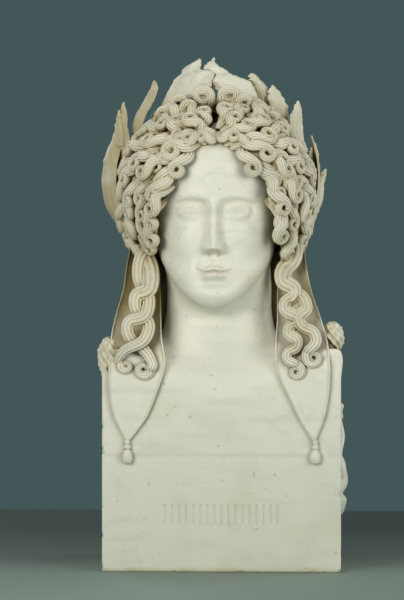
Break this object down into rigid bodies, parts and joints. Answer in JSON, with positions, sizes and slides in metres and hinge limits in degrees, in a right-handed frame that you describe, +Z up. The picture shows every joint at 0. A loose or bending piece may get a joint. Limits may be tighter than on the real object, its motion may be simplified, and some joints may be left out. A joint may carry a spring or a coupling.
{
  "type": "marble herm bust",
  "caption": "Classical marble bust with drilled curls, a leaf crown, ringlets and ribbon ends, carved in one with its herm block.",
  "frame": {"origin": "centre of the flat underside of the herm block", "axes": "+Z up, the face looks along -Y, +X to the right of someone who looks at the face"},
  "size_m": [0.7191, 0.5654, 1.4626],
  "materials": {
    "marble": "honed warm white marble, ochre in the recesses"
  },
  "bodies": {
    "root": {"herm_bust": "marble"}
  },
  "joints": []
}
